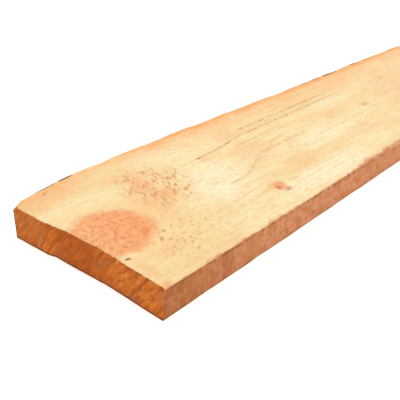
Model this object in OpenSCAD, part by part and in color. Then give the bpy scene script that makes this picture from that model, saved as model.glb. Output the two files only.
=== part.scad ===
// Rough-sawn softwood plank with one waney edge, in millimetres.
// X runs along the grain, and the near end faces -X.
// The sawn edge faces -Y, the waney edge faces +Y, and the underside lies on z = 0.
// The origin is the middle of the underside.

/* [Plank] */
// Length along the grain, over the proudest point of the near end
plank_length = 1800; // [900:50:3600]
// Width at the widest point of the waney edge
plank_width = 225; // [180:5:300]
// Thickness between the two sawn faces
plank_thickness = 38; // [22:1:75]

/* [Waney edge] */
// How much the edge draws in at the near end
end_draw_in = 16.5; // [0:0.5:20]
// Distance over which that draw-in fades away
draw_in_run = 50; // [20:5:200]
// Height of the slow swell along the edge
swell_height = 1.8; // [0:0.2:8]
// Length of one slow swell
swell_pitch = 560; // [400:20:2000]
// Distance from the near end to the first crest of the swell
swell_crest = 280; // [0:10:800]
// Height of the short ripple along the edge
ripple_height = 1; // [0:0.1:3]
// Length of one short ripple
ripple_pitch = 165; // [60:5:400]
// Lean of the edge, which makes the underside narrower than the top
wane_lean = 8; // [0:1:25]

/* [Near end] */
// Width of the square part of the first saw cut, in from the widest line of the waney edge
first_cut_square = 24; // [5:1:35]
// Distance that the rest of the first cut runs back before the step
first_cut_back = 5.2; // [0:0.2:8]
// Distance from the widest line of the waney edge to the step
step_in = 73; // [45:1:85]
// Height of the step, where the second saw cut misses the first
step_back = 2.8; // [0:0.2:8]
// Width of the step's slope
step_ramp = 7; // [3:1:12]
// Distance that the second cut runs back from the step to its turn
second_cut_back = 7.4; // [0:0.2:12]
// Distance from the sawn edge to that turn
turn_in = 70; // [30:1:80]
// Distance that the second cut runs back from its turn to the sawn edge
last_cut_back = 1.8; // [0:0.2:6]
// Depth of the chip in the upper arris, along the grain
end_chip_depth = 3; // [0:0.5:8]
// Length of that chip, across the plank
end_chip_length = 72; // [30:1:80]
// Distance from the step to the middle of the chip
end_chip_in = 50; // [45:1:60]
// Depth of the chip at the upper corner by the waney edge, square to its face
corner_chip_depth = 3.6; // [0:0.2:8]

/* [Arrises] */
// Mean wear of the long arrises, square to the worn face
arris_wear = 1; // [0.4:0.1:3]
// How much that wear varies along the plank
arris_wear_wave = 0.8; // [0:0.1:1.5]
// Length of one wave of wear
arris_wear_pitch = 95; // [40:5:300]
// Extra depth where the upper sawn arris is torn away
torn_depth = 2.8; // [0:0.2:6]
// Distance from the near end to the middle of the torn stretch
torn_centre = 510; // [200:5:1500]
// Half-length of the torn stretch
torn_run = 60; // [20:5:300]

/* [Hidden] */

TIMBER = [0.93, 0.76, 0.53];
// Rough length of the facets that follow a wavy edge
FACET = 20;
// How far a cutter reaches past the wood it cuts
MARGIN = 30;
// Angle between a worn face and the top, underside or end beside it
WORN_ANGLE = 45;
// How far the corner chip's face leans from level, and the way that it faces
CORNER_CHIP_LEAN = 52.5;
CORNER_CHIP_HEADING = 123.5;
// Phases that set the waney edge and the wear of the four long arrises apart
EDGE_PHASE = 20;
WANEY_PHASE = 290;
WANEY_FOOT_PHASE = 155;
SAWN_PHASE = 310;
SAWN_FOOT_PHASE = 130;

sawn_edge_y = -plank_width / 2;
waney_edge_y = plank_width / 2;
near_end_x = -plank_length / 2;
step_y = waney_edge_y - step_in;
turn_y = sawn_edge_y + turn_in;
second_cut_start = first_cut_back + step_back;
second_cut_end = second_cut_start + second_cut_back;
facet_count = ceil(plank_length / FACET);
facet = plank_length / facet_count;

// Where the facets of one wavy face meet. They shift with its phase, so that where two wavy faces
// cross, their facets never meet at one point.
function stations(phase) = [for (i = [-1 : facet_count]) (i + phase / 360) * facet];

// Irregular wave between -1 and 1, at a distance x along an edge
function wobble(x, pitch, phase) =
    (sin(360 * x / pitch + phase) + 0.6 * sin(360 * x / (0.39 * pitch) + 2 * phase)) / 1.6;

// Smooth hump of height 1 at centre, which dies away over run on each side
function hump(x, centre, run) = exp(-pow((x - centre) / run, 2));

// Distance of the waney edge from its widest line, before that line is set
function raw_draw(x) =
    end_draw_in * exp(-max(x, 0) / draw_in_run)
    + swell_height * (1 - cos(360 * (x - swell_crest) / swell_pitch)) / 2
    + ripple_height * (1 + wobble(x, ripple_pitch, EDGE_PHASE)) / 2;

// Wear of a long arris
function wear(x, phase) = arris_wear + arris_wear_wave * wobble(x, arris_wear_pitch, phase);

// Width that a worn upper arris takes off the leaning edge
function worn_off(x) = wear(x, WANEY_PHASE) * sqrt(2) * tan(wane_lean) / (1 + tan(wane_lean));

widest_draw = min([for (x = stations(EDGE_PHASE)) if (x > 0) raw_draw(x) + worn_off(x)]);

// Distance that the unworn upper arris stands in from the plank's full width
function waney_draw(x) = raw_draw(x) - widest_draw;

// Cuts away all wood outside a wavy face that runs along the plank. The face passes through the line
// at (y, z), leans by tilt about X, and stands depths[i] inside that line at station i of its phase.
module long_cutter(y, z, tilt, phase, depths) {
    reach = plank_thickness + MARGIN;
    joints = stations(phase);
    last = facet_count + 1;
    cut_face = [for (i = [0 : last]) [joints[i], -depths[i]]];
    outer_side = [[joints[last], reach], [joints[0], reach]];
    translate([near_end_x, y, z])
        rotate([tilt, 0, 0])
            linear_extrude(height = 2 * reach, center = true)
                polygon(concat(cut_face, outer_side));
}

// The natural face that was under the bark
module waney_edge_cut() {
    long_cutter(waney_edge_y, plank_thickness, -wane_lean, EDGE_PHASE,
        [for (x = stations(EDGE_PHASE)) waney_draw(x) * cos(wane_lean)]);
}

// The worn arrises beside the waney edge follow its draw-in
module waney_arris_cuts() {
    underside_draw = plank_thickness * tan(wane_lean);
    long_cutter(waney_edge_y, plank_thickness, WORN_ANGLE, WANEY_PHASE,
        [for (x = stations(WANEY_PHASE))
            waney_draw(x) * cos(WORN_ANGLE) + wear(x, WANEY_PHASE)]);
    long_cutter(waney_edge_y - underside_draw, 0, -WORN_ANGLE, WANEY_FOOT_PHASE,
        [for (x = stations(WANEY_FOOT_PHASE))
            waney_draw(x) * cos(WORN_ANGLE) + wear(x, WANEY_FOOT_PHASE)]);
}

// The worn arrises beside the sawn edge, with the torn stretch on the upper one
module sawn_arris_cuts() {
    long_cutter(sawn_edge_y, plank_thickness, 180 - WORN_ANGLE, SAWN_PHASE,
        [for (x = stations(SAWN_PHASE))
            wear(x, SAWN_PHASE) + torn_depth * hump(x, torn_centre, torn_run)]);
    long_cutter(sawn_edge_y, 0, WORN_ANGLE - 180, SAWN_FOOT_PHASE,
        [for (x = stations(SAWN_FOOT_PHASE)) wear(x, SAWN_FOOT_PHASE) / 2]);
}

// The near end was cut from both edges, and the two cuts meet at a step
module near_end_cut() {
    translate([near_end_x, 0, -MARGIN])
        linear_extrude(height = plank_thickness + 2 * MARGIN)
            polygon([
                [-MARGIN, waney_edge_y + MARGIN],
                [0, waney_edge_y + MARGIN],
                [0, waney_edge_y - first_cut_square],
                [first_cut_back, step_y],
                [second_cut_start, step_y - step_ramp],
                [second_cut_end, turn_y],
                [second_cut_end + last_cut_back, sawn_edge_y - arris_wear],
                [second_cut_end + last_cut_back, sawn_edge_y - MARGIN],
                [-MARGIN, sawn_edge_y - MARGIN]
            ]);
}

// Shallow chip out of the upper arris of the second cut, facing halfway between the top and the cut.
// Its depth varies along its length.
module end_chip_cut() {
    half = end_chip_length / 2;
    middle_y = step_y - end_chip_in;
    run = step_y - step_ramp - turn_y;
    middle_x = second_cut_start + second_cut_back * (end_chip_in - step_ramp) / run;
    face_depth = end_chip_depth * cos(WORN_ANGLE);
    translate([near_end_x + middle_x, middle_y, plank_thickness])
        rotate([0, 0, atan(second_cut_back / run)])
            rotate([0, WORN_ANGLE, 0])
                linear_extrude(height = 2 * MARGIN, center = true)
                    polygon([
                        [-MARGIN, -half],
                        [0, -half],
                        [face_depth * 0.7, -half * 0.6],
                        [face_depth * 0.8, half * 0.2],
                        [face_depth, half * 0.7],
                        [0, half],
                        [-MARGIN, half]
                    ]);
}

// Flat chip off the upper corner where the near end meets the waney edge
module corner_chip_cut() {
    corner_y = waney_edge_y - waney_draw(0);
    translate([near_end_x, corner_y, plank_thickness])
        rotate([0, CORNER_CHIP_LEAN, CORNER_CHIP_HEADING])
            translate([-MARGIN, -MARGIN, -corner_chip_depth])
                cube([2 * MARGIN, 2 * MARGIN, 2 * MARGIN]);
}

module plank() {
    color(TIMBER)
        difference() {
            translate([near_end_x, sawn_edge_y, 0])
                cube([plank_length, plank_width + MARGIN, plank_thickness]);
            waney_edge_cut();
            waney_arris_cuts();
            sawn_arris_cuts();
            near_end_cut();
            end_chip_cut();
            corner_chip_cut();
        }
}

plank();
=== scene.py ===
"""Rough-sawn softwood plank with one waney edge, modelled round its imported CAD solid.

Lengths are in millimetres, and become metres where Blender takes them. Only the studio, at the end,
is in metres throughout.
"""
import math

import bmesh
import bpy
import numpy as np
from mathutils import Matrix, Vector
from mathutils.bvhtree import BVHTree


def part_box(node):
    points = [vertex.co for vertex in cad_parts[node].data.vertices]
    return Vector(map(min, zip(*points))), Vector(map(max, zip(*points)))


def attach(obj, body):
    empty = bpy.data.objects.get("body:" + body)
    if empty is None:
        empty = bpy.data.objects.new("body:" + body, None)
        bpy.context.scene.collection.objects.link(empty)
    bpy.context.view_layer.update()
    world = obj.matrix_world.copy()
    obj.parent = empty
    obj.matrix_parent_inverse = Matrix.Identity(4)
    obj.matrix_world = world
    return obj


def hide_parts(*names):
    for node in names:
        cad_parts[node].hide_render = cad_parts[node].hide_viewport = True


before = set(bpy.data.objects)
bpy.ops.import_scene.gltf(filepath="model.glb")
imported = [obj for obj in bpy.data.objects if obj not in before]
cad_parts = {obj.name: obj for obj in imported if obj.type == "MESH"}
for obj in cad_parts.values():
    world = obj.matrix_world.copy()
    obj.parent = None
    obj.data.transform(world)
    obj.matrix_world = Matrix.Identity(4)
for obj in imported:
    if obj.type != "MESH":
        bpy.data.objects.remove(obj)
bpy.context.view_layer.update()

MM = 0.001
low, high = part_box("plank")
NEAR_X, FAR_X = low.x / MM, high.x / MM
SAWN_Y, WANEY_Y = low.y / MM, high.y / MM
TOP_Z = high.z / MM
LENGTH = FAR_X - NEAR_X

# ------------------------------------------------------------------ what the wood shows
# Places are (distance from the near end, distance from the middle of the width).

# Growth rings are shells round the log's pith, which runs along the plank below it. Its depth is
# measured from the upper face.
PITH_SIDE = -12.0
PITH_DEPTH = 74.0
RING_SPACING = 5.2
# Share of a ring by which the whole set is shifted inwards
RING_PHASE = 0.673
# Bends of the log, where its pith comes nearer to the upper face: centre, half-length, amount
LOG_BENDS = ((490, 260, 14), (1180, 210, 9), (1620, 160, 6))

BIG_KNOT = (44.0, -12.0)
BIG_KNOT_SIZE = (50.0, 43.5)

# Small knots: centre, half-sizes, turn in degrees, strength, redness
SMALL_KNOTS = (
    ((263, -71), (12, 14), 15, 0.82, 0.9),
    ((391, 1), (6.5, 3), 0, 0.45, 1.0),
    ((424, -2), (5.5, 2.6), 0, 0.30, 1.0),
    ((507, 0), (6.5, 4), 20, 0.45, 0.2),
    ((532, 13), (5, 4), 0, 0.25, 0.8),
    ((487, -9), (6, 3), 0, 0.25, 0.3),
    ((602, -6), (10, 7), 40, 0.60, 0.3),
    ((746, 38), (9, 4.5), 45, 0.60, 0.6),
    ((1090, -46), (10, 8), -20, 0.9, 1.0),
    ((1366, 52), (8, 6), 15, 0.8, 0.8),
    ((1570, -20), (12, 9), 0, 0.9, 0.9),
)

# Dark lines along the grain: place, start, end, strength, and how far the line climbs to its place
DARK_LINES = (
    (48.5, 232, 660, 0.80, 8.5),
    (61.5, 338, 650, 0.90, 0),
    (55, 300, 600, 0.35, 0),
    (84, 380, 640, 0.35, 0),
    (31, 300, 470, 0.35, 0),
    (-2, 212, 470, 0.44, 27),
    (10, 264, 420, 0.32, 26),
    (-21, 420, 640, 0.30, 0),
)

# Torn grain beside the big knot, where the saw pulled fibres out, as slits in one patch and as dots
# in the other: centre and half-sizes
TORN_PATCH = ((150, 26), (52, 56))
DOTTED_PATCH = ((97, -58), (68, 48))

# Single dark marks on the upper face: centre, half-sizes, turn in degrees, strength
MARKS = (
    ((24.5, -56), (4.2, 1.9), -15, 0.9),
    ((240, 39), (5, 1.8), 5, 0.6),
    ((40, 91), (6, 2), 30, 0.4),
    ((266, -82), (7.5, 2.8), 12, 0.5),
    ((74, -54), (4.5, 2.2), 45, 0.5),
    ((81, -60), (3, 2), 10, 0.4),
    ((86, -45), (3, 2), 30, 0.5),
    ((91, -89), (3.5, 1.8), 10, 0.4),
)

# Bark left on the waney edge: start, end, lowest share of the edge's height that it covers,
# and how far it reaches over the upper arris
BARK_PATCHES = (
    (34, 60, 0.70, 3.6),
    (64, 92, 0.66, 3.6),
    (590, 650, 0.80, 3.4),
    (658, 712, 0.70, 5.0),
    (764, 800, 0.66, 4.0),
    (818, 838, 0.80, 2.6),
    (905, 930, 0.78, 2.4),
    (984, 1120, 0.45, 3.0),
    (1330, 1395, 0.60, 2.6),
    (1600, 1665, 0.30, 2.6),
)

# Torn stretch of the upper sawn arris: where it starts, is whole, starts to fade, and ends
TORN_STRETCH = (330, 420, 640, 800)
# Saw bands on the sawn edge shift this far towards the near end for each millimetre of height.
BAND_LEAN = 0.12
# Turn of the coarse saw's strokes on the ends, in degrees from upright
STROKE_TURN = 33.0


# ------------------------------------------------------------------ noise and smooth steps
# Random values along each side of the table behind the noise, which then repeats
LATTICE = 64


def lattice_noise(points, cells, seed):
    """Smooth noise between -1 and 1 at each point, with one random value per cell."""
    table = np.random.default_rng(seed).random((LATTICE, LATTICE, LATTICE)) * 2 - 1
    scaled = np.asarray(points) / np.asarray(cells, float)
    base = np.floor(scaled).astype(int)
    part = scaled - base
    part = part * part * (3 - 2 * part)
    total = np.zeros(len(scaled))
    for corner in np.ndindex(2, 2, 2):
        index = (base + corner) % LATTICE
        weight = np.prod(np.where(corner, part, 1 - part), axis=1)
        total += weight * table[index[:, 0], index[:, 1], index[:, 2]]
    return total


def noise_share(points, cells, seed):
    """The same noise, from 0 to 1."""
    return 0.5 + 0.5 * lattice_noise(points, cells, seed)


def smooth_step(value, start, end):
    """0 before start, 1 after end, and a smooth rise between them."""
    share = np.clip((value - start) / (end - start), 0, 1)
    return share * share * (3 - 2 * share)


# ------------------------------------------------------------------ plank mesh
# Rows of faces across the upper face, across the underside, and down each side
TOP_ROWS = 100
UNDER_ROWS = TOP_ROWS // 2
SIDE_ROWS = 16
# Length of the first face at the near end, and the share by which each one is longer than the last
FIRST_STEP = 1.2
STEP_GROWTH = 0.004
# How far outside the wood rays start, and how far inside its ends they stay
OUTSIDE = 60.0
NUDGE = 0.05
# How far from the top and the underside rays meet the waney edge, to stay clear of its worn arrises
PROBE = 5.0


def station_distances():
    """Distances from the near end, close together there and wider apart towards the far end."""
    growth = 1 + STEP_GROWTH * LENGTH / FIRST_STEP
    count = int(math.log(growth) / STEP_GROWTH)
    share = np.arange(count + 1) / count
    return (growth ** share - 1) / (growth - 1) * LENGTH


def eased_rows(count, crowding=0.45):
    """Shares from 0 to 1, closer together near both ends."""
    share = np.arange(count + 1) / count
    return share - crowding * np.sin(2 * math.pi * share) / (2 * math.pi)


class Solid:
    """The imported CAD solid, for rays and nearest points, in millimetres."""

    def __init__(self, node):
        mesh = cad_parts[node].data
        corners = [v.co / MM for v in mesh.vertices]
        self.tree = BVHTree.FromPolygons(corners, [tuple(p.vertices) for p in mesh.polygons])

    def hit(self, start, direction):
        """The first point that a ray meets."""
        return self.tree.ray_cast(Vector(start), Vector(direction))[0]

    def snap(self, points):
        """The nearest point on the solid to each point."""
        return np.array([self.tree.find_nearest(Vector(p))[0] for p in points])


solid = Solid("plank")


def end_line(last_y, margin=0.6, step=0.5):
    """Plan of the near end, from just inside the sawn edge to last_y: y and x of the end face."""
    across = np.arange(SAWN_Y + margin, last_y, step)
    places = [solid.hit((NEAR_X - OUTSIDE, y, TOP_Z / 2), (1, 0, 0)) for y in across]
    return across, np.array([place[0] for place in places])


def waney_line(distances, z):
    """y of the waney edge at height z, against distance from the near end."""
    places = [solid.hit((NEAR_X + distance, WANEY_Y + OUTSIDE, z), (0, -1, 0))
              for distance in np.clip(distances, NUDGE, LENGTH - NUDGE)]
    return np.array([place[1] for place in places])


def build_plank_points():
    """Loops of points round the plank, one per station, the grid that closes each end, and the plan
    of the near end."""
    distances = station_distances()
    upper = waney_line(distances, TOP_Z - PROBE)
    lower = waney_line(distances, PROBE)
    end_y, end_x = end_line(lower[0])
    lean = (upper - lower) / (TOP_Z - 2 * PROBE)

    def edge_y(z):
        """y of the waney edge at one height, at every station."""
        return lower + (z - PROBE) * lean

    def place(y, z):
        """Points of every station at one row, whose y may change along the plank."""
        start = np.interp(y, end_y, end_x)
        x = start + distances * (FAR_X - start) / LENGTH
        return np.stack([x, y, np.full_like(x, z)], axis=1)

    top_share = eased_rows(TOP_ROWS)
    side_share = eased_rows(SIDE_ROWS, 0.6)
    columns = []
    for share in top_share:
        columns.append(place(SAWN_Y + share * (edge_y(TOP_Z) - SAWN_Y), TOP_Z))
    for share in side_share[1:-1]:
        z = TOP_Z * (1 - share)
        columns.append(place(edge_y(z), z))
    for share in top_share[::2][::-1]:
        columns.append(place(SAWN_Y + share * (edge_y(0) - SAWN_Y), 0))
    for share in side_share[1:-1][::-1]:
        columns.append(place(np.full_like(distances, SAWN_Y), TOP_Z * (1 - share)))
    loops = np.stack(columns, axis=1)

    def end_grid(loop):
        """Rows of points between the top and the bottom of one loop, sides left out."""
        top = loop[:TOP_ROWS + 1]
        under = loop[TOP_ROWS + SIDE_ROWS:TOP_ROWS + SIDE_ROWS + UNDER_ROWS + 1][::-1]
        foot_y = np.interp(np.arange(TOP_ROWS + 1) / 2, np.arange(UNDER_ROWS + 1), under[:, 1])
        rows = []
        for share in side_share[1:-1]:
            y = top[1:-1, 1] + share * (foot_y[1:-1] - top[1:-1, 1])
            rows.append(np.stack([top[1:-1, 0], y, np.full_like(y, TOP_Z * (1 - share))], axis=1))
        return np.stack(rows)

    near_grid = end_grid(loops[0])
    near_grid[..., 0] = np.interp(near_grid[..., 1], end_y, end_x)
    return loops, near_grid, end_grid(loops[-1]), (end_y, end_x)


def plank_faces(stations, around):
    """Faces over the loops, then over the two ends. Points are numbered loops first, then grids."""
    faces = []
    for i in range(stations - 1):
        for k in range(around):
            after = (k + 1) % around
            faces.append((i * around + k, (i + 1) * around + k,
                          (i + 1) * around + after, i * around + after))
    grid_size = (SIDE_ROWS - 1) * (TOP_ROWS - 1)
    first_grid = stations * around

    def end_faces(loop_start, grid_start, flip):
        def index(row, column):
            """Point at a row, counted down from the top, and a column, counted from the sawn edge."""
            if row == 0:
                return loop_start + column
            if column == 0:
                return loop_start + (around - row) % around
            if column == TOP_ROWS:
                return loop_start + TOP_ROWS + row
            return grid_start + (row - 1) * (TOP_ROWS - 1) + column - 1

        def foot(column):
            return loop_start + TOP_ROWS + SIDE_ROWS + UNDER_ROWS - column

        made = []
        for row in range(SIDE_ROWS - 1):
            for column in range(TOP_ROWS):
                made.append((index(row, column), index(row + 1, column),
                             index(row + 1, column + 1), index(row, column + 1)))
        last = SIDE_ROWS - 1
        for column in range(UNDER_ROWS):
            left, middle, right = (index(last, 2 * column + i) for i in range(3))
            made.append((left, foot(column), middle))
            made.append((foot(column), foot(column + 1), middle))
            made.append((middle, foot(column + 1), right))
        return [face[::-1] for face in made] if flip else made

    faces += end_faces(0, first_grid, True)
    faces += end_faces((stations - 1) * around, first_grid + grid_size, False)
    return faces


def point_normals(points, faces):
    """Mean normal at each point, weighted by area, pointing out of the wood."""
    normals = np.zeros_like(points)
    for size in (3, 4):
        group = np.array([f for f in faces if len(f) == size])
        a, b = points[group[:, 0]], points[group[:, 1]]
        c, d = points[group[:, 2]], points[group[:, -1]]
        cross = np.cross(c - a, d - b) if size == 4 else np.cross(b - a, c - a)
        for corner in range(size):
            np.add.at(normals, group[:, corner], cross)
    return normals / np.maximum(np.linalg.norm(normals, axis=1, keepdims=True), 1e-9)


def grain_flow(along, across):
    """Across-grain coordinate, whose lines run along the plank and part round the knots."""
    flow = across.copy()
    knots = [(BIG_KNOT, BIG_KNOT_SIZE, 1.0)]
    knots += [(centre, size, strength) for centre, size, _, strength, _ in SMALL_KNOTS]
    for (knot_along, knot_across), (_, half_width), strength in knots:
        radius = half_width * (0.55 + 0.35 * strength)
        forward = (along - knot_along) * 0.62
        sideways = across - knot_across
        squared = np.maximum(forward * forward + sideways * sideways, radius * radius)
        flow -= sideways * radius * radius / squared * np.clip(strength, 0.4, 1)
    return flow


def ring_count(along, flow, z):
    """Growth rings counted outwards from the pith. Each one's dark wood ends at a whole number."""
    depth = np.full_like(along, PITH_DEPTH)
    for centre, run, amount in LOG_BENDS:
        depth -= amount * np.exp(-((along - centre) / run) ** 2)
    wander = np.stack([along, flow, z], axis=1)
    side = PITH_SIDE + 5 * lattice_noise(wander, (420, 900, 900), 11)
    radius = np.hypot(flow - side, z - TOP_Z + depth)
    radius = radius + 1.5 * lattice_noise(wander, (170, 55, 55), 12)
    radius = radius + 0.6 * lattice_noise(wander, (60, 18, 30), 13)
    return radius / RING_SPACING + RING_PHASE


def turned(first, second, degrees):
    """Two coordinates, as seen from a frame that is turned from the first towards the second."""
    turn = math.radians(degrees)
    return (first * math.cos(turn) + second * math.sin(turn),
            second * math.cos(turn) - first * math.sin(turn))


def oval(along, across, centre, size, turn_degrees=0.0):
    """Distance from an oval's centre, where 1 is its outline."""
    forward, sideways = turned(along - centre[0], across - centre[1], turn_degrees)
    return np.hypot(forward / size[0], sideways / size[1])


def facing(normals, axis, sign):
    """How squarely each point faces one way along an axis, from 0 to 1."""
    return np.clip(sign * normals[:, axis], 0, 1) ** 2


def upper_face_pits(place):
    """Torn fibres and pits round the big knot, and the sunken rims of the small knots."""
    along, across, z = place.T
    slant = np.stack([(along + across) * 0.70, (across - along) * 0.70, z], axis=1)
    slits = smooth_step(lattice_noise(slant, (7, 2.6, 50), 23), 0.15, 0.75)
    torn = 1 - smooth_step(oval(along, across, *TORN_PATCH), 0.5, 1.1)
    dots = smooth_step(lattice_noise(place, (3.2, 3.0, 50), 24), 0.3, 0.9)
    knot = 1 - smooth_step(oval(along, across, BIG_KNOT, BIG_KNOT_SIZE), 0.85, 1.05)
    dotted = 1 - smooth_step(oval(along, across, *DOTTED_PATCH), 0.4, 1.1)
    depth = torn * (0.75 * slits + 0.15) + dots * (0.35 * knot + 0.3 * dotted)
    for centre, size, turn, strength, _ in SMALL_KNOTS:
        rim = np.exp(-((oval(along, across, centre, size, turn) - 1) / 0.22) ** 2)
        depth += strength * 0.35 * rim
    return depth


def sawn_edge_bands(place):
    """Soft cross bands from the saw, deepest near the end, and fibres along the edge."""
    along, _, z = place.T
    band_place = np.stack([along + BAND_LEAN * z, 0 * along, z], axis=1)
    bands = (0.34 - 0.2 * smooth_step(along, 120, 420)) * noise_share(band_place, (9, 50, 60), 25)
    return bands + 0.14 * noise_share(place, (24, 9, 2.4), 26)


def waney_edge_ripples(place, fuzz, bark):
    """The log's own surface, with ripples along it where it is bare, and rough bark elsewhere."""
    bare = 0.10 + 0.55 * noise_share(place, (46, 30, 7), 27) + 0.12 * fuzz
    return (1 - bark) * bare + bark * 0.15 * noise_share(place, (5, 5, 3.5), 28)


def end_ridges(place):
    """Slanting ridges from a coarse saw."""
    _, across, z = place.T
    ridge_place = np.stack([*turned(across, z, STROKE_TURN), 0 * z], axis=1)
    return noise_share(ridge_place, (6, 32, 50), 29) + 0.5 * noise_share(ridge_place, (13, 44, 50), 30)


def carve_depth(place, normals, bark):
    """How far the rough surface lies inside the CAD surface. A place is the distance along from the
    near end, the distance across from the middle, and the height."""
    top, under = facing(normals, 2, 1), facing(normals, 2, -1)
    sawn, waney = facing(normals, 1, -1), facing(normals, 1, 1)
    near, far = facing(normals, 0, -1), facing(normals, 0, 1)
    fuzz = noise_share(place, (11, 2.6, 2.6), 21)
    broad = noise_share(place, (70, 24, 24), 22)
    depth = (top + under) * (0.12 * fuzz + 0.12 * broad)
    depth += top * upper_face_pits(place)
    depth += sawn * sawn_edge_bands(place)
    depth += waney * waney_edge_ripples(place, fuzz, bark)
    depth += (0.34 * near + 0.2 * far) * end_ridges(place)

    # fibres broke out along every arris
    share = np.stack([top + under, sawn + waney, near + far], axis=1)
    on_arris = 1 - smooth_step(share.max(axis=1), 0.62, 0.98)
    rag = np.clip(lattice_noise(place, (7, 5, 5), 31), 0, 1)
    rag += 0.6 * np.clip(lattice_noise(place, (19, 14, 14), 32), 0, 1)
    return depth + 0.4 * on_arris * rag


def break_arrises(points, end_line_y, end_line_x):
    """Breaks the upper arrises of the near end and the sawn edge back by an uneven width.

    Returns how far each point lay into the broken arris of the end, and into that of the sawn edge,
    from 0 to 1. Because x, y and z follow the points as they move, the second break starts from the
    first.
    """
    x, y, z = points.T
    along = x - NEAR_X
    zero = np.zeros_like(x)

    def chips(place, cell, seed):
        """Chips about as long as a cell, from 0 where there is none to 1 where one is deepest."""
        line = np.stack([place, zero, zero], axis=1)
        return np.clip(lattice_noise(line, (cell, cell, cell), seed), 0, 1)

    end_width = 0.8 + 4.0 * chips(y, 9, 51) + 3.4 * chips(y, 21, 52)
    behind = x - np.interp(y, end_line_y, end_line_x)
    end_loss = np.clip(end_width - behind - (TOP_Z - z), 0, None)
    points[:, 0] += end_loss / 2
    points[:, 2] -= end_loss / 2

    start, whole, fade, end = TORN_STRETCH
    torn_stretch = smooth_step(along, start, whole) * (1 - smooth_step(along, fade, end))
    side_width = 0.6 + 3.0 * chips(along, 9, 53) + 4.0 * chips(along, 17, 55)
    side_width += torn_stretch * (4.6 + 3.6 * chips(along, 16, 54))
    side_loss = np.clip(side_width - (y - SAWN_Y) - (TOP_Z - z), 0, None)
    points[:, 1] += side_loss / 2
    points[:, 2] -= side_loss / 2
    return end_loss / end_width, side_loss / side_width


def bark_cover(points, normals, gap):
    """1 on the last bark of the waney edge and 0 elsewhere, with soft borders."""
    end_blur = 9
    height_blur = 0.14
    ragged = lattice_noise(points, (12, 12, 7), 41) + 0.8 * lattice_noise(points, (34, 34, 20), 42)
    along = points[:, 0] - NEAR_X + 13 * lattice_noise(points, (30, 30, 9), 43)
    share = points[:, 2] / TOP_Z + 0.16 * ragged
    side = smooth_step(normals[:, 1], 0.3, 0.55)
    cover = np.zeros_like(along)
    for start, end, foot, reach in BARK_PATCHES:
        ends = smooth_step(along, start - end_blur, start + end_blur)
        ends *= 1 - smooth_step(along, end - end_blur, end + end_blur)
        height = smooth_step(share, foot - height_blur, foot + height_blur)
        over = (1 - smooth_step(gap, 0.5 * reach, 1.5 * reach)) * (normals[:, 2] > 0.5)
        cover = np.maximum(cover, ends * np.maximum(height * side, over))
    return cover


def edge_gap(points, loops):
    """Distance of each point in from the waney edge, at the point's own height."""
    upper, lower = loops[:, TOP_ROWS], loops[:, TOP_ROWS + SIDE_ROWS]
    x, y, z = points.T
    share = z / TOP_Z
    edge = share * np.interp(x, upper[:, 0], upper[:, 1])
    edge += (1 - share) * np.interp(x, lower[:, 0], lower[:, 1])
    return edge - y


def add_attributes(mesh, fields):
    """Gives each point of the mesh one number per field, for the material to read."""
    for name, values in fields.items():
        layer = mesh.attributes.new(name, "FLOAT", "POINT")
        layer.data.foreach_set("value", np.asarray(values, np.float32))


def make_plank():
    """The plank's object, with everything that its material needs to know about each point."""
    loops, near_grid, far_grid, near_end_line = build_plank_points()
    stations, around = loops.shape[:2]
    points = np.concatenate([loops.reshape(-1, 3), near_grid.reshape(-1, 3), far_grid.reshape(-1, 3)])
    faces = plank_faces(stations, around)
    points = solid.snap(points)
    normals = point_normals(points, faces)
    place = points - (NEAR_X, 0, 0)
    along, across, z = place.T
    gap = edge_gap(points, loops)
    bark = bark_cover(points, normals, gap)
    flow = grain_flow(along, across)
    rings = ring_count(along, flow, z)
    points = points - normals * carve_depth(place, normals, bark)[:, None]
    broken_end, broken_side = break_arrises(points, *near_end_line)
    points = np.clip(points, (NEAR_X, SAWN_Y, 0), (FAR_X, WANEY_Y, TOP_Z))

    mesh = bpy.data.meshes.new("sawn_plank")
    mesh.from_pydata((points * MM).tolist(), [], faces)
    add_attributes(mesh, {
        "ring_count": rings,
        "grain_flow": flow,
        "edge_gap": gap,
        "bark_cover": bark,
        "broken_end": broken_end,
        "broken_side": broken_side,
        "arris_share": 1 - smooth_step(np.abs(normals).max(axis=1), 0.80, 0.985),
        "end_share": facing(normals, 0, -1) + facing(normals, 0, 1),
        "sawn_share": facing(normals, 1, -1),
        "waney_share": facing(normals, 1, 1),
    })
    mesh.shade_smooth()
    mesh.set_sharp_from_angle(angle=math.radians(50))
    mesh.update()
    plank = bpy.data.objects.new("sawn_plank", mesh)
    bpy.context.scene.collection.objects.link(plank)
    return plank


# ------------------------------------------------------------------ material
def linear(red, green, blue):
    """A display colour, 0 to 255, as the linear colour that a shader takes."""
    def channel(value):
        share = value / 255
        return share / 12.92 if share <= 0.04045 else ((share + 0.055) / 1.055) ** 2.4
    return (channel(red), channel(green), channel(blue), 1.0)


def between(first, second, share):
    """Mix of two fixed colours."""
    return tuple(a + share * (b - a) for a, b in zip(first, second))


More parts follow.
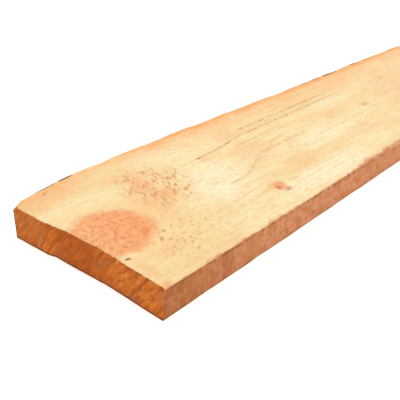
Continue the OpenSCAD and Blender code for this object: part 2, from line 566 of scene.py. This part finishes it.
class Shader:
    """Short names for the nodes of one material. A value is a number or another node's output."""

    def __init__(self, name):
        self.material = bpy.data.materials.new(name)
        self.material.use_nodes = True
        self.tree = self.material.node_tree
        self.tree.nodes.clear()

    def put(self, kind, inputs=(), **properties):
        """A new node, with its inputs by name or number, and its properties."""
        node = self.tree.nodes.new(kind)
        for name, value in properties.items():
            setattr(node, name, value)
        for key, value in dict(inputs).items():
            if isinstance(value, bpy.types.NodeSocket):
                self.tree.links.new(value, node.inputs[key])
            else:
                node.inputs[key].default_value = value
        return node

    def math(self, operation, *values):
        return self.put("ShaderNodeMath", enumerate(values), operation=operation).outputs[0]

    def add(self, *values):
        total = values[0]
        for value in values[1:]:
            total = self.math("ADD", total, value)
        return total

    def times(self, *values):
        total = values[0]
        for value in values[1:]:
            total = self.math("MULTIPLY", total, value)
        return total

    def step(self, value, start, end, low=0.0, high=1.0):
        """Smooth change from low to high as value goes from start to end."""
        node = self.put("ShaderNodeMapRange", {
            "Value": value, "From Min": start, "From Max": end, "To Min": low, "To Max": high,
        }, interpolation_type="SMOOTHSTEP")
        return node.outputs["Result"]

    def tint(self, factor, first, second):
        """Mix of two colours."""
        node = self.put("ShaderNodeMix", {0: factor, 6: first, 7: second},
                        data_type="RGBA", clamp_factor=True)
        return node.outputs[2]

    def local(self, place, centre=(0, 0, 0), turn=0.0, size=(1, 1, 1)):
        """place seen from a turned frame at centre, in units of size."""
        node = self.put("ShaderNodeMapping", {
            "Vector": place, "Location": centre, "Rotation": (0, 0, math.radians(turn)), "Scale": size,
        }, vector_type="TEXTURE")
        return node.outputs[0]

    def noise(self, place, size, turn=0.0, detail=2.0, roughness=0.5, distortion=0.0, centre=(0, 0, 0)):
        """Noise from 0 to 1, in cells of the size given. The centre only sets two noises apart."""
        node = self.put("ShaderNodeTexNoise", {
            "Vector": self.local(place, centre, turn, size), "Scale": 1.0, "Detail": detail,
            "Roughness": roughness, "Distortion": distortion,
        })
        return node.outputs[0]

    def attribute(self, name):
        return self.put("ShaderNodeAttribute", attribute_name=name).outputs["Fac"]

    def axis(self, place, name):
        return self.put("ShaderNodeSeparateXYZ", {0: place}).outputs[name]


class Wood(Shader):
    """Shader with the plank's own places, in millimetres, and masks for its faces, from 0 to 1."""

    def __init__(self, name):
        super().__init__(name)
        raw = self.put("ShaderNodeTexCoord").outputs["Object"]
        self.place = self.put("ShaderNodeMapping", {
            "Vector": raw, "Location": (LENGTH / 2, 0, 0), "Scale": (1 / MM,) * 3}).outputs[0]
        self.x, self.y, self.z = (self.axis(self.place, letter) for letter in "XYZ")
        self.flow = self.attribute("grain_flow")
        self.gap = self.attribute("edge_gap")
        self.grain = self.point(self.x, self.flow, self.z)
        self.plan = self.point(self.x, self.y, 0.0)
        self.end_plan = self.point(self.y, self.z, self.x)
        ragged = self.step(self.noise(self.place, (7, 5, 5), detail=3), 0.40, 0.62, 0.0, 0.9)
        torn_end = self.times(self.attribute("broken_end"), ragged)
        self.end = self.step(self.add(self.attribute("end_share"), torn_end), 0.22, 0.48)
        self.sawn = self.step(self.attribute("sawn_share"), 0.35, 0.65)
        self.waney = self.step(self.attribute("waney_share"), 0.35, 0.65)
        self.upper = self.step(self.z, 12, 26)
        self.shakes = {}

    def point(self, x, y, z):
        """A point. The mapping changes nothing, but gives the kind of value that textures take as it is,
        and one that needed converting at each use would overfill the shader's memory."""
        return self.local(self.put("ShaderNodeCombineXYZ", {"X": x, "Y": y, "Z": z}).outputs[0])

    def shake(self, size):
        """Noise from -0.5 to 0.5 on the wide faces, shared by all outlines of one size."""
        if size not in self.shakes:
            self.shakes[size] = self.add(self.noise(self.plan, (size,) * 3, detail=3), -0.5)
        return self.shakes[size]

    def away(self, centre, size, turn, wobble, wobble_size):
        """Distance from an oval's centre on the wide faces, where 1 is its outline and 2 is the most
        it gives, before the wobble is added."""
        reach = 2
        seen = self.local(self.plan, (*centre, 0), turn, (reach * size[0], reach * size[1], 1))
        ball = self.put("ShaderNodeTexGradient", {"Vector": seen}, gradient_type="SPHERICAL")
        distance = self.math("MULTIPLY_ADD", ball.outputs[1], -reach, reach)
        return self.add(distance, self.times(self.shake(wobble_size), wobble))

    def patch(self, centre, size, strength, turn=0.0, wobble=0.6, wobble_size=26.0, soft=(0.3, 1.15)):
        """Soft-edged oval patch on the upper face."""
        distance = self.away(centre, size, turn, wobble, wobble_size)
        return self.times(self.step(distance, *soft, strength, 0.0), self.upper)


PALE = linear(246, 234, 196)
CREAM = linear(241, 223, 176)
BUTTER = linear(239, 209, 154)
PEACH = linear(238, 190, 134)
BLUSH = linear(240, 196, 154)
ORANGE = linear(238, 164, 100)

# Soft patches of tone on the upper face: centre, half-sizes, strength, tone
TONE_PATCHES = (
    ((20, 100), (95, 42), 0.95, PEACH),
    ((55, 50), (58, 20), 0.80, CREAM),
    ((20, -90), (110, 45), 0.60, BUTTER),
    ((112, -8), (36, 46), 0.60, PEACH),
    ((216, -14), (72, 56), 0.95, PALE),
    ((215, 78), (60, 22), 0.45, PALE),
    ((345, -88), (130, 26), 0.95, PALE),
    ((440, -26), (110, 22), 0.65, PALE),
    ((318, 60), (34, 17), 0.60, BLUSH),
    ((246, 33), (12, 5), 0.90, BLUSH),
    ((66, -66), (34, 22), 0.45, PEACH),
    ((23, -108), (10, 6), 0.75, ORANGE),
    ((28, -78), (8, 26), 0.60, PEACH),
    ((312, 4), (44, 30), 0.50, BLUSH),
    ((345, -48), (50, 28), 0.50, PEACH),
    ((560, 34), (90, 18), 0.50, PALE),
    ((520, -52), (80, 14), 0.45, BLUSH),
    ((640, 70), (70, 26), 0.60, BLUSH),
    ((760, -20), (130, 100), 0.60, BLUSH),
)


def ring_lines(wood):
    """Dark late wood of the growth rings, and how plainly it shows."""
    shift = wood.times(wood.add(wood.noise(wood.grain, (24, 4, 4)), -0.5), 0.22)
    share = wood.math("FRACT", wood.add(wood.attribute("ring_count"), shift))
    late = wood.times(wood.step(share, 0.45, 0.93), wood.step(share, 0.95, 1.0, 1.0, 0.0))
    strength = wood.times(
        wood.step(wood.noise(wood.grain, (110, 11, 11), detail=4), 0.40, 0.70, 0.10, 0.75),
        wood.step(wood.noise(wood.grain, (14, 2.2, 2.2), detail=2), 0.34, 0.60, 0.35, 1.0),
        wood.step(wood.x, 90, 250, 0.25, 1.0))
    return late, strength


def face_colour(wood, late, late_strength, fibre):
    """Wide faces: patches of tone, growth rings, fibres and the darker strip under the bark."""
    broad = wood.noise(wood.grain, (150, 34, 34), detail=3)
    colour = wood.tint(wood.step(broad, 0.35, 0.70), CREAM, BUTTER)
    blotch = wood.noise(wood.plan, (60, 40, 40), detail=3, centre=(7, 3, 0))
    colour = wood.tint(wood.step(blotch, 0.5, 0.8, 0.0, 0.6), colour, PEACH)
    colour = wood.tint(wood.step(wood.x, 420, 880, 0.0, 0.55), colour, linear(241, 208, 162))
    for centre, size, strength, tone in TONE_PATCHES:
        colour = wood.tint(wood.patch(centre, size, strength), colour, tone)
    mottle = wood.noise(wood.grain, (30, 9, 9), detail=5, roughness=0.72, centre=(5, 1, 8))
    colour = wood.tint(wood.step(mottle, 0.50, 0.72, 0.0, 0.60), colour, BLUSH)
    colour = wood.tint(wood.step(mottle, 0.47, 0.28, 0.0, 0.55), colour, PALE)

    colour = wood.tint(wood.times(late, late_strength, 0.45), colour, linear(219, 163, 102))
    colour = wood.tint(wood.step(fibre, 0.52, 0.80, 0.0, 0.14), colour, linear(219, 170, 112))
    clumps = wood.noise(wood.grain, (11, 3.6, 3.6), detail=4, roughness=0.7, centre=(1, 6, 2))
    colour = wood.tint(wood.step(clumps, 0.42, 0.70, 0.0, 0.42), colour, linear(226, 176, 118))
    colour = wood.tint(wood.step(clumps, 0.46, 0.26, 0.0, 0.22), colour, PALE)
    dash = wood.noise(wood.grain, (8, 1.3, 1.6), detail=1)
    dash = wood.times(wood.step(dash, 0.64, 0.76), wood.step(late, 0.1, 0.6, 0.3, 1.0))
    colour = wood.tint(wood.times(dash, 0.38), colour, linear(190, 136, 82))

    drift = wood.add(wood.noise(wood.grain, (90, 12, 12), detail=4), -0.5)
    edge = wood.add(wood.gap, wood.times(drift, 22))
    strip = wood.times(
        wood.add(wood.step(edge, 2, 22, 0.55, 0.0), wood.step(edge, 8, 56, 0.40, 0.0)),
        wood.step(wood.x, 60, 260, 0.45, 1.0),
        wood.step(mottle, 0.30, 0.55, 0.6, 1.0))
    colour = wood.tint(strip, colour, ORANGE)
    rim_strength = wood.step(wood.noise(wood.grain, (22, 5, 5)), 0.35, 0.6, 0.3, 0.85)
    rim = wood.times(wood.step(wood.gap, 0.6, 3.0, 1.0, 0.0), rim_strength)
    return wood.tint(rim, colour, linear(200, 130, 88))


def add_lines(wood, colour):
    """Dark lines that stand out, each a soft line with darker dashes in it."""
    waver = wood.times(wood.add(wood.noise(wood.grain, (60, 30, 30), detail=2), -0.5), 5.0)
    dashes = wood.step(wood.noise(wood.grain, (12, 2.4, 2.4), detail=3, centre=(2, 0, 0)), 0.44, 0.60)
    for place, start, stop, strength, climb in DARK_LINES:
        line_y = wood.add(wood.y, waver, wood.step(wood.x, start + 30, start + 120, climb, 0.0))
        gap = wood.math("ABSOLUTE", wood.add(line_y, -place))
        fade = wood.step(wood.x, stop - 120, stop, strength, 0.0)
        reach = wood.times(wood.step(wood.x, start, start + 20), fade, wood.upper)
        soft = wood.times(wood.step(gap, 0.8, 4.0, 0.55, 0.0), reach)
        colour = wood.tint(soft, colour, linear(224, 172, 112))
        core = wood.times(wood.step(gap, 0.5, 2.2, 0.8, 0.0), dashes, reach)
        colour = wood.tint(core, colour, linear(186, 128, 68))
    return colour


def add_torn_grain(wood, colour):
    """Short slits and dots beside the big knot, where the saw pulled fibres out, and their pits."""
    centre, size = TORN_PATCH
    torn = wood.patch(centre, size, 1.0, 0, 0.7, 26, (0.45, 1.15))
    slits = wood.step(wood.noise(wood.plan, (9, 5.2, 5), 60, detail=1, distortion=0.6), 0.50, 0.68)
    slit_mix = wood.step(wood.noise(wood.plan, (15, 12, 12), centre=(3, 9, 0)), 0.42, 0.58)
    slit_colour = wood.tint(slit_mix, linear(218, 134, 86), linear(192, 148, 90))
    colour = wood.tint(wood.times(torn, 0.40), colour, linear(238, 192, 134))
    colour = wood.tint(wood.patch((134, 38), (18, 28), 0.55, 0, 0.6, 14), colour, linear(236, 162, 112))
    colour = wood.tint(wood.patch((146, 6), (26, 14), 0.50, 0, 0.6, 14), colour, linear(236, 164, 114))
    colour = wood.tint(wood.times(torn, slits, 0.80), colour, slit_colour)

    centre, size = DOTTED_PATCH
    dotted = wood.patch(centre, size, 1.0, 0, 0.7, 26, (0.3, 1.2))
    dots = wood.step(wood.noise(wood.plan, (4.8, 4.0, 5), 55, detail=0), 0.57, 0.72)
    crowd = wood.noise(wood.plan, (18, 14, 9), centre=(4, 4, 0))
    dots = wood.times(dots, wood.step(crowd, 0.30, 0.50, 0.4, 1.0))
    colour = wood.tint(wood.times(dotted, 0.25), colour, linear(240, 202, 140))
    colour = wood.tint(wood.times(dotted, dots, 0.55), colour, linear(206, 146, 90))
    pits = wood.add(wood.times(torn, slits, 0.45), wood.times(dotted, dots, 0.3))
    return colour, pits


def add_big_knot(wood, colour):
    """Salmon knot by the near end, pale and speckled on its near side, and its relief."""
    distance = wood.add(wood.away(BIG_KNOT, BIG_KNOT_SIZE, 0, 0.42, 26), wood.times(wood.shake(6.0), 0.16))
    halo = wood.times(wood.step(distance, 1.0, 1.16), wood.step(distance, 1.22, 1.6, 1.0, 0.0))
    colour = wood.tint(wood.times(halo, 0.35), colour, linear(246, 207, 150))
    inside = wood.step(distance, 0.78, 1.09, 1.0, 0.0)
    granules = wood.noise(wood.plan, (8, 5.5, 5), 35, detail=4, roughness=0.65)
    knot_colour = wood.tint(wood.step(granules, 0.36, 0.64), linear(234, 145, 92), linear(240, 170, 114))
    near_side = wood.step(wood.x, 18, 70, 1.0, 0.0)
    streaks = wood.step(wood.noise(wood.plan, (9, 4, 5), 35, detail=3, centre=(8, 2, 0)), 0.46, 0.62)
    knot_colour = wood.tint(wood.times(near_side, streaks, 0.45), knot_colour, linear(243, 196, 144))
    ember = wood.step(wood.away((72, -33), (9, 5), 40, 0.8, 6.0), 0.2, 1.2, 0.6, 0.0)
    knot_colour = wood.tint(ember, knot_colour, linear(222, 116, 62))
    dots = wood.step(wood.noise(wood.plan, (5.4, 4.6, 4), 40, detail=0, centre=(5, 1, 0)), 0.56, 0.72)
    crowd = wood.step(wood.noise(wood.plan, (17, 17, 17), centre=(1, 4, 0)), 0.38, 0.56, 0.1, 1.0)
    dots = wood.times(dots, wood.math("MAXIMUM", wood.times(near_side, 0.8), crowd))
    knot_colour = wood.tint(wood.times(dots, 0.55), knot_colour, linear(208, 112, 66))
    relief = wood.times(inside, wood.add(granules, wood.times(dots, -0.6)))
    return wood.tint(wood.times(inside, 0.9), colour, knot_colour), relief


def add_small_knots(wood, colour):
    """Small knots, each with a darker core off its middle."""
    for centre, size, turn, strength, redness in SMALL_KNOTS:
        distance = wood.away(centre, size, turn, 0.9, 8.0 if max(size) > 7 else 5.0)
        body = between(linear(214, 168, 118), linear(230, 144, 102), redness)
        core = between(linear(186, 136, 90), linear(192, 90, 58), redness)
        colour = wood.tint(wood.step(distance, 0.35, 1.2, 0.9 * strength, 0.0), colour, body)
        core_place = (centre[0] - 0.45 * size[0], centre[1] - 0.1 * size[1])
        core_away = wood.away(core_place, (0.42 * size[0], 0.36 * size[1]), turn, 0.6, 5.0)
        colour = wood.tint(wood.step(core_away, 0.2, 1.2, 0.75 * strength, 0.0), colour, core)
    return colour


def add_marks(wood, colour):
    """Single dark marks."""
    for centre, size, turn, strength in MARKS:
        spot = wood.patch(centre, size, strength, turn, 0.6, 5.0, (0.4, 1.3))
        colour = wood.tint(spot, colour, linear(158, 92, 44))
    return colour


def end_colour(wood, late):
    """Orange-brown end grain with slanting strokes, darkest where the big knot runs behind it."""
    mottle = wood.noise(wood.end_plan, (24, 15, 60), STROKE_TURN, detail=3, roughness=0.6)
    dark_strokes = wood.noise(wood.end_plan, (4.4, 20, 60), STROKE_TURN, detail=3, roughness=0.65)
    light_strokes = wood.noise(wood.end_plan, (3.8, 16, 60), STROKE_TURN, detail=3, centre=(40, 9, 3))
    near = wood.step(wood.x, 200, 600, 1.0, 0.0)
    colour = wood.tint(wood.step(mottle, 0.32, 0.68), linear(190, 97, 30), linear(211, 117, 43))
    colour = wood.tint(wood.step(dark_strokes, 0.44, 0.62, 0.0, 0.85), colour, linear(162, 80, 24))
    colour = wood.tint(wood.step(light_strokes, 0.50, 0.70, 0.0, 0.70), colour, linear(230, 140, 60))
    hue = wood.noise(wood.end_plan, (16, 13, 60), STROKE_TURN, detail=3, centre=(9, 2, 7))
    colour = wood.tint(wood.step(hue, 0.52, 0.68, 0.0, 0.55), colour, linear(174, 110, 66))
    colour = wood.tint(wood.step(hue, 0.46, 0.30, 0.0, 0.60), colour, linear(212, 104, 26))
    colour = wood.tint(wood.step(near, 0.0, 1.0, 0.65, 0.0), colour, linear(198, 112, 46))
    colour = wood.tint(wood.times(late, wood.step(near, 0.0, 1.0, 0.5, 0.08)), colour, linear(160, 84, 34))
    knot_zone = wood.times(wood.step(wood.y, -62, -6), wood.step(wood.y, 24, 40, 1.0, 0.0), near)
    colour = wood.tint(wood.times(knot_zone, 0.50), colour, linear(160, 72, 14))
    dull_zone = wood.times(wood.step(wood.y, 36, 70), near)
    colour = wood.tint(wood.times(dull_zone, 0.35), colour, linear(182, 102, 48))
    speck = wood.step(wood.noise(wood.end_plan, (3, 4.5, 60), STROKE_TURN, detail=2), 0.62, 0.74)
    colour = wood.tint(wood.times(speck, 0.35), colour, linear(138, 76, 38))
    rim = wood.step(wood.gap, 0.8, 3.4, 0.65, 0.0)
    colour = wood.tint(rim, colour, linear(112, 66, 38))
    relief = wood.add(
        wood.times(dark_strokes, -0.5), wood.times(light_strokes, 0.3), wood.times(speck, -0.2))
    return colour, relief


def sawn_edge_colour(wood, late):
    """Sawn edge: red-brown, with short upright strokes, soft cross bands near the end, slanting
    blotches beyond them, and a painted shadow in broken dashes just under the upper arris, where its
    frayed fibres shade the edge."""
    band_place = wood.point(wood.add(wood.x, wood.times(wood.z, BAND_LEAN)), 0.0, wood.z)
    band = wood.noise(band_place, (13, 50, 60), detail=2, roughness=0.5)
    slanted = wood.point(wood.add(wood.x, wood.times(wood.z, 1.3)), 0.0, wood.z)
    blotch = wood.noise(slanted, (15, 50, 22), detail=4, roughness=0.68)
    fibre = wood.noise(wood.place, (38, 6, 1.4), detail=3, roughness=0.6)
    colour = wood.tint(wood.step(wood.x, 20, 210), linear(184, 113, 64), linear(215, 147, 101))
    pinkness = wood.times(wood.step(blotch, 0.46, 0.74), wood.step(wood.x, 50, 170, 0.35, 0.85))
    colour = wood.tint(pinkness, colour, linear(225, 153, 117))
    colour = wood.tint(wood.step(blotch, 0.52, 0.28, 0.0, 0.70), colour, linear(184, 112, 64))
    colour = wood.tint(wood.step(fibre, 0.48, 0.78, 0.0, 0.35), colour, linear(176, 102, 58))
    bands = wood.times(wood.step(band, 0.42, 0.68), wood.step(wood.x, 110, 170, 0.55, 0.08))
    colour = wood.tint(bands, colour, linear(152, 88, 46))
    strokes = wood.noise(band_place, (4.5, 50, 15), detail=3, roughness=0.65, centre=(6, 0, 2))
    colour = wood.tint(wood.step(strokes, 0.50, 0.68, 0.0, 0.60), colour, linear(150, 90, 48))
    colour = wood.tint(wood.step(strokes, 0.46, 0.30, 0.0, 0.45), colour, linear(226, 146, 108))
    hue = wood.noise(band_place, (13, 50, 12), detail=2, centre=(8, 0, 3))
    colour = wood.tint(wood.step(hue, 0.50, 0.64, 0.0, 0.50), colour, linear(190, 112, 52))
    colour = wood.tint(wood.step(hue, 0.46, 0.34, 0.0, 0.40), colour, linear(219, 130, 97))
    # Painted shadow: dark dashes in the top 8 mm of the sawn edge stand in for the shade under the frayed
    # arris.
    fray_shadow = wood.step(wood.noise(band_place, (7, 50, 9), detail=2, centre=(3, 0, 5)), 0.44, 0.60, 0.0, 0.60)
    fray_shadow = wood.times(fray_shadow, wood.step(wood.z, TOP_Z - 8, TOP_Z - 1))
    colour = wood.tint(fray_shadow, colour, linear(138, 84, 46))
    colour = wood.tint(wood.times(late, 0.12), colour, linear(178, 100, 54))
    return colour, wood.add(wood.times(band, 0.35), wood.times(fibre, 0.35), wood.times(blotch, 0.3))


def waney_edge_colour(wood):
    """Log surface under the bark: long fibres and dull blotches."""
    fibre = wood.noise(wood.place, (60, 8, 1.6), detail=4, roughness=0.6)
    colour = wood.tint(wood.step(fibre, 0.35, 0.70), linear(204, 136, 82), linear(170, 102, 58))
    blotch = wood.noise(wood.place, (40, 20, 9), detail=3)
    colour = wood.tint(wood.step(blotch, 0.52, 0.75, 0.0, 0.6), colour, linear(136, 84, 52))
    return colour, wood.times(fibre, 0.6)


def add_bark(wood, colour):
    """Brown bark with a ragged outline and dark cracks, and its relief."""
    ragged = wood.noise(wood.place, (7, 7, 4), detail=4, roughness=0.7)
    outline = wood.times(wood.add(ragged, -0.5), 1.1)
    cover = wood.step(wood.add(wood.attribute("bark_cover"), outline), 0.42, 0.58)
    grit = wood.noise(wood.place, (6, 6, 2.5), detail=4, roughness=0.7, centre=(3, 0, 1))
    bark_colour = wood.tint(wood.step(grit, 0.34, 0.66), linear(72, 50, 38), linear(128, 94, 68))
    return wood.tint(wood.times(cover, 0.92), colour, bark_colour), wood.times(cover, grit, 1.5)


def wood_material():
    """The one material: wide faces first, then the ends and edges over them, bark, and last a painted
    contact shadow along their foot.
    """
    wood = Wood("sawn_softwood")
    late, late_strength = ring_lines(wood)
    fibre = wood.noise(wood.grain, (40, 1.0, 1.0), detail=3, roughness=0.6)
    colour = face_colour(wood, late, late_strength, fibre)
    colour = add_lines(wood, colour)
    colour, pits = add_torn_grain(wood, colour)
    colour, knot_relief = add_big_knot(wood, colour)
    colour = add_small_knots(wood, colour)
    colour = add_marks(wood, colour)

    end, end_relief = end_colour(wood, late)
    side, side_relief = sawn_edge_colour(wood, late)
    wane, wane_relief = waney_edge_colour(wood)
    # Painted highlight along every arris, pale pink with reddish dashes. On the broken stretch of the sawn
    # arris the same tint is also the colour of the torn fibres.
    arris_tone = wood.step(wood.noise(wood.grain, (9, 4, 4), detail=3), 0.42, 0.60)
    torn_wood_and_highlight = wood.tint(arris_tone, linear(214, 130, 96), linear(246, 190, 156))
    arris_highlight = wood.times(wood.attribute("arris_share"), 0.6)
    broken = wood.step(wood.attribute("broken_side"), 0.1, 0.6, 0.0, 0.8)
    colour = wood.tint(wood.math("MAXIMUM", arris_highlight, broken), colour, torn_wood_and_highlight)
    colour = wood.tint(wood.end, colour, end)
    colour = wood.tint(wood.sawn, colour, side)
    colour = wood.tint(wood.waney, colour, wane)
    colour, bark_relief = add_bark(wood, colour)
    edges = wood.math("MAXIMUM", wood.end, wood.math("MAXIMUM", wood.sawn, wood.waney))
    # Painted contact shadow: the ends and edges darken to deep brown over their lowest 3 mm, where the
    # plank meets the floor.
    foot = wood.times(wood.step(wood.z, 0.9, 3.2, 0.75, 0.0), edges)
    colour = wood.tint(foot, colour, linear(92, 56, 36))

    # relief that is too fine for the mesh
    face_relief = wood.add(
        wood.times(fibre, 0.06), wood.times(late, late_strength, -0.06),
        wood.times(pits, -1.0), wood.times(knot_relief, 0.25))
    height = wood.add(
        wood.times(face_relief, wood.math("SUBTRACT", 1.0, edges)), wood.times(wood.end, end_relief),
        wood.times(wood.sawn, side_relief), wood.times(wood.waney, wane_relief), bark_relief)
    bump = wood.put("ShaderNodeBump", {"Height": height, "Strength": 0.8, "Distance": 0.9 * MM})
    surface = wood.put("ShaderNodeBsdfPrincipled", {
        "Base Color": colour, "Roughness": wood.add(0.74, wood.times(fibre, 0.2)),
        "Specular IOR Level": 0.12, "Normal": bump.outputs[0]})
    wood.put("ShaderNodeOutputMaterial", {"Surface": surface.outputs[0]})
    return wood.material


# ------------------------------------------------------------------ studio
# Lengths in this part are in metres, and angles in degrees.
CAMERA_PLACE = (-1.23021, -0.40389, 0.40182)
CAMERA_AZIMUTH = -52.762
CAMERA_ELEVATION = 30.451
CAMERA_ROLL = 6.328
CAMERA_LENS_MM = 57.2856
FLOOR_HALF = 30.0
# The floor lies this far under the plank, so that the two faces never meet.
FLOOR_DROP = 0.0002
SURROUND_RADIUS = 40.0


def add_camera():
    """Camera that looks down on the near end from the side of the sawn edge."""
    azimuth, elevation, roll = map(math.radians, (CAMERA_AZIMUTH, CAMERA_ELEVATION, CAMERA_ROLL))
    back = Vector((math.sin(azimuth) * math.cos(elevation),
                   -math.cos(azimuth) * math.cos(elevation),
                   math.sin(elevation)))
    level = Vector((0, 0, 1)).cross(back).normalized()
    upright = back.cross(level)
    right = math.cos(roll) * level + math.sin(roll) * upright
    up = math.cos(roll) * upright - math.sin(roll) * level
    data = bpy.data.cameras.new("camera")
    data.lens = CAMERA_LENS_MM
    data.clip_start = 0.02
    data.clip_end = 60
    camera = bpy.data.objects.new("camera", data)
    facing_matrix = Matrix((right, up, back)).transposed().to_4x4()
    camera.matrix_world = Matrix.Translation(CAMERA_PLACE) @ facing_matrix
    bpy.context.scene.collection.objects.link(camera)
    bpy.context.scene.camera = camera


def add_floor():
    """Plain pale floor, which is clear when seen from below."""
    mesh = bpy.data.meshes.new("floor")
    corners = [(x * FLOOR_HALF, y * FLOOR_HALF, 0) for x, y in ((-1, -1), (1, -1), (1, 1), (-1, 1))]
    mesh.from_pydata(corners, [], [(0, 1, 2, 3)])
    floor = bpy.data.objects.new("floor", mesh)
    floor.location.z = -FLOOR_DROP
    bpy.context.scene.collection.objects.link(floor)
    shader = Shader("floor")
    paper = shader.put("ShaderNodeBsdfDiffuse", {"Color": (0.92, 0.92, 0.92, 1)})
    glow = shader.put("ShaderNodeEmission", {"Color": (1, 1, 1, 1), "Strength": 0.42})
    both = shader.put("ShaderNodeAddShader", {0: paper.outputs[0], 1: glow.outputs[0]})
    clear = shader.put("ShaderNodeBsdfTransparent")
    behind = shader.put("ShaderNodeNewGeometry").outputs["Backfacing"]
    seen = shader.put("ShaderNodeMixShader", {0: behind, 1: both.outputs[0], 2: clear.outputs[0]})
    shader.put("ShaderNodeOutputMaterial", {"Surface": seen.outputs[0]})
    mesh.materials.append(shader.material)


def add_dome():
    """Pale surround that only the camera sees, so that the horizon doesn't show."""
    mesh = bpy.data.meshes.new("surround")
    shell = bmesh.new()
    bmesh.ops.create_icosphere(shell, subdivisions=4, radius=SURROUND_RADIUS)
    shell.to_mesh(mesh)
    shell.free()
    dome = bpy.data.objects.new("surround", mesh)
    bpy.context.scene.collection.objects.link(dome)
    dome.visible_diffuse = dome.visible_glossy = dome.visible_shadow = False
    dome.visible_transmission = dome.visible_volume_scatter = False
    shader = Shader("surround")
    glow = shader.put("ShaderNodeEmission", {"Color": (1, 1, 1, 1), "Strength": 1.0})
    shader.put("ShaderNodeOutputMaterial", {"Surface": glow.outputs[0]})
    mesh.materials.append(shader.material)


def add_area_light(name, place, size, watts, target):
    data = bpy.data.lights.new(name, "AREA")
    data.size = size
    data.energy = watts
    light = bpy.data.objects.new(name, data)
    light.location = place
    light.rotation_euler = (Vector(target) - Vector(place)).to_track_quat("-Z", "Y").to_euler()
    bpy.context.scene.collection.objects.link(light)


def add_lights():
    """One large soft light overhead, and an even white sky."""
    add_area_light("overhead", place=(-0.3, 0.3, 3.0), size=3.0, watts=68, target=(-0.3, 0.0, 0))
    world = bpy.data.worlds.new("studio")
    world.use_nodes = True
    background = world.node_tree.nodes["Background"]
    background.inputs["Color"].default_value = (1, 1, 1, 1)
    background.inputs["Strength"].default_value = 0.57
    bpy.context.scene.world = world
    bpy.context.scene.view_settings.view_transform = "Standard"


add_camera()
plank = make_plank()
plank.data.materials.append(wood_material())
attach(plank, "root")
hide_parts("plank")
add_floor()
add_dome()
add_lights()
